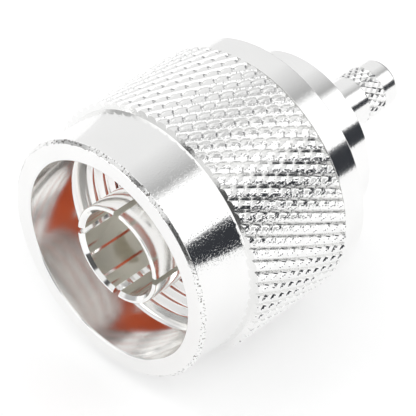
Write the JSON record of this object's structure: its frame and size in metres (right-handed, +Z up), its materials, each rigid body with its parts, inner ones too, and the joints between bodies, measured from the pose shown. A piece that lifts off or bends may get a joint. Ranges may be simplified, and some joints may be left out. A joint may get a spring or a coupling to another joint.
{
  "type": "n type connector",
  "caption": "Coaxial plug with a knurled coupling nut, slotted outer contact, gasket and crimp stem for a thin cable.",
  "frame": {"origin": "on the connector's axis, where the coupling thread starts", "axes": "+Y along the axis towards the cable, the open mating end faces -Y, +Z up"},
  "size_m": [0.021, 0.0305, 0.021],
  "materials": {
    "nut_plating": "bright silver-white plating over brass",
    "spring_steel": "plain spring steel",
    "silicone": "red-orange silicone",
    "contact_plating": "polished silver plating over brass",
    "body_plating": "bright silver-white plating over brass",
    "ptfe": "off-white PTFE",
    "stem_plating": "bright silver-white plating over brass"
  },
  "bodies": {
    "plug": {"body": "body_plating", "outer_contact": "contact_plating", "insulator": "ptfe", "gasket": "silicone", "retaining_ring": "spring_steel", "crimp_stem": "stem_plating"},
    "nut": {"coupling_nut": "nut_plating"}
  },
  "joints": [
    {"name": "nut_spin", "type": "hinge", "parent": "plug", "child": "nut", "pos_m": [0, 0, 0], "axis": [0, 1, 0], "continuous": true}
  ]
}
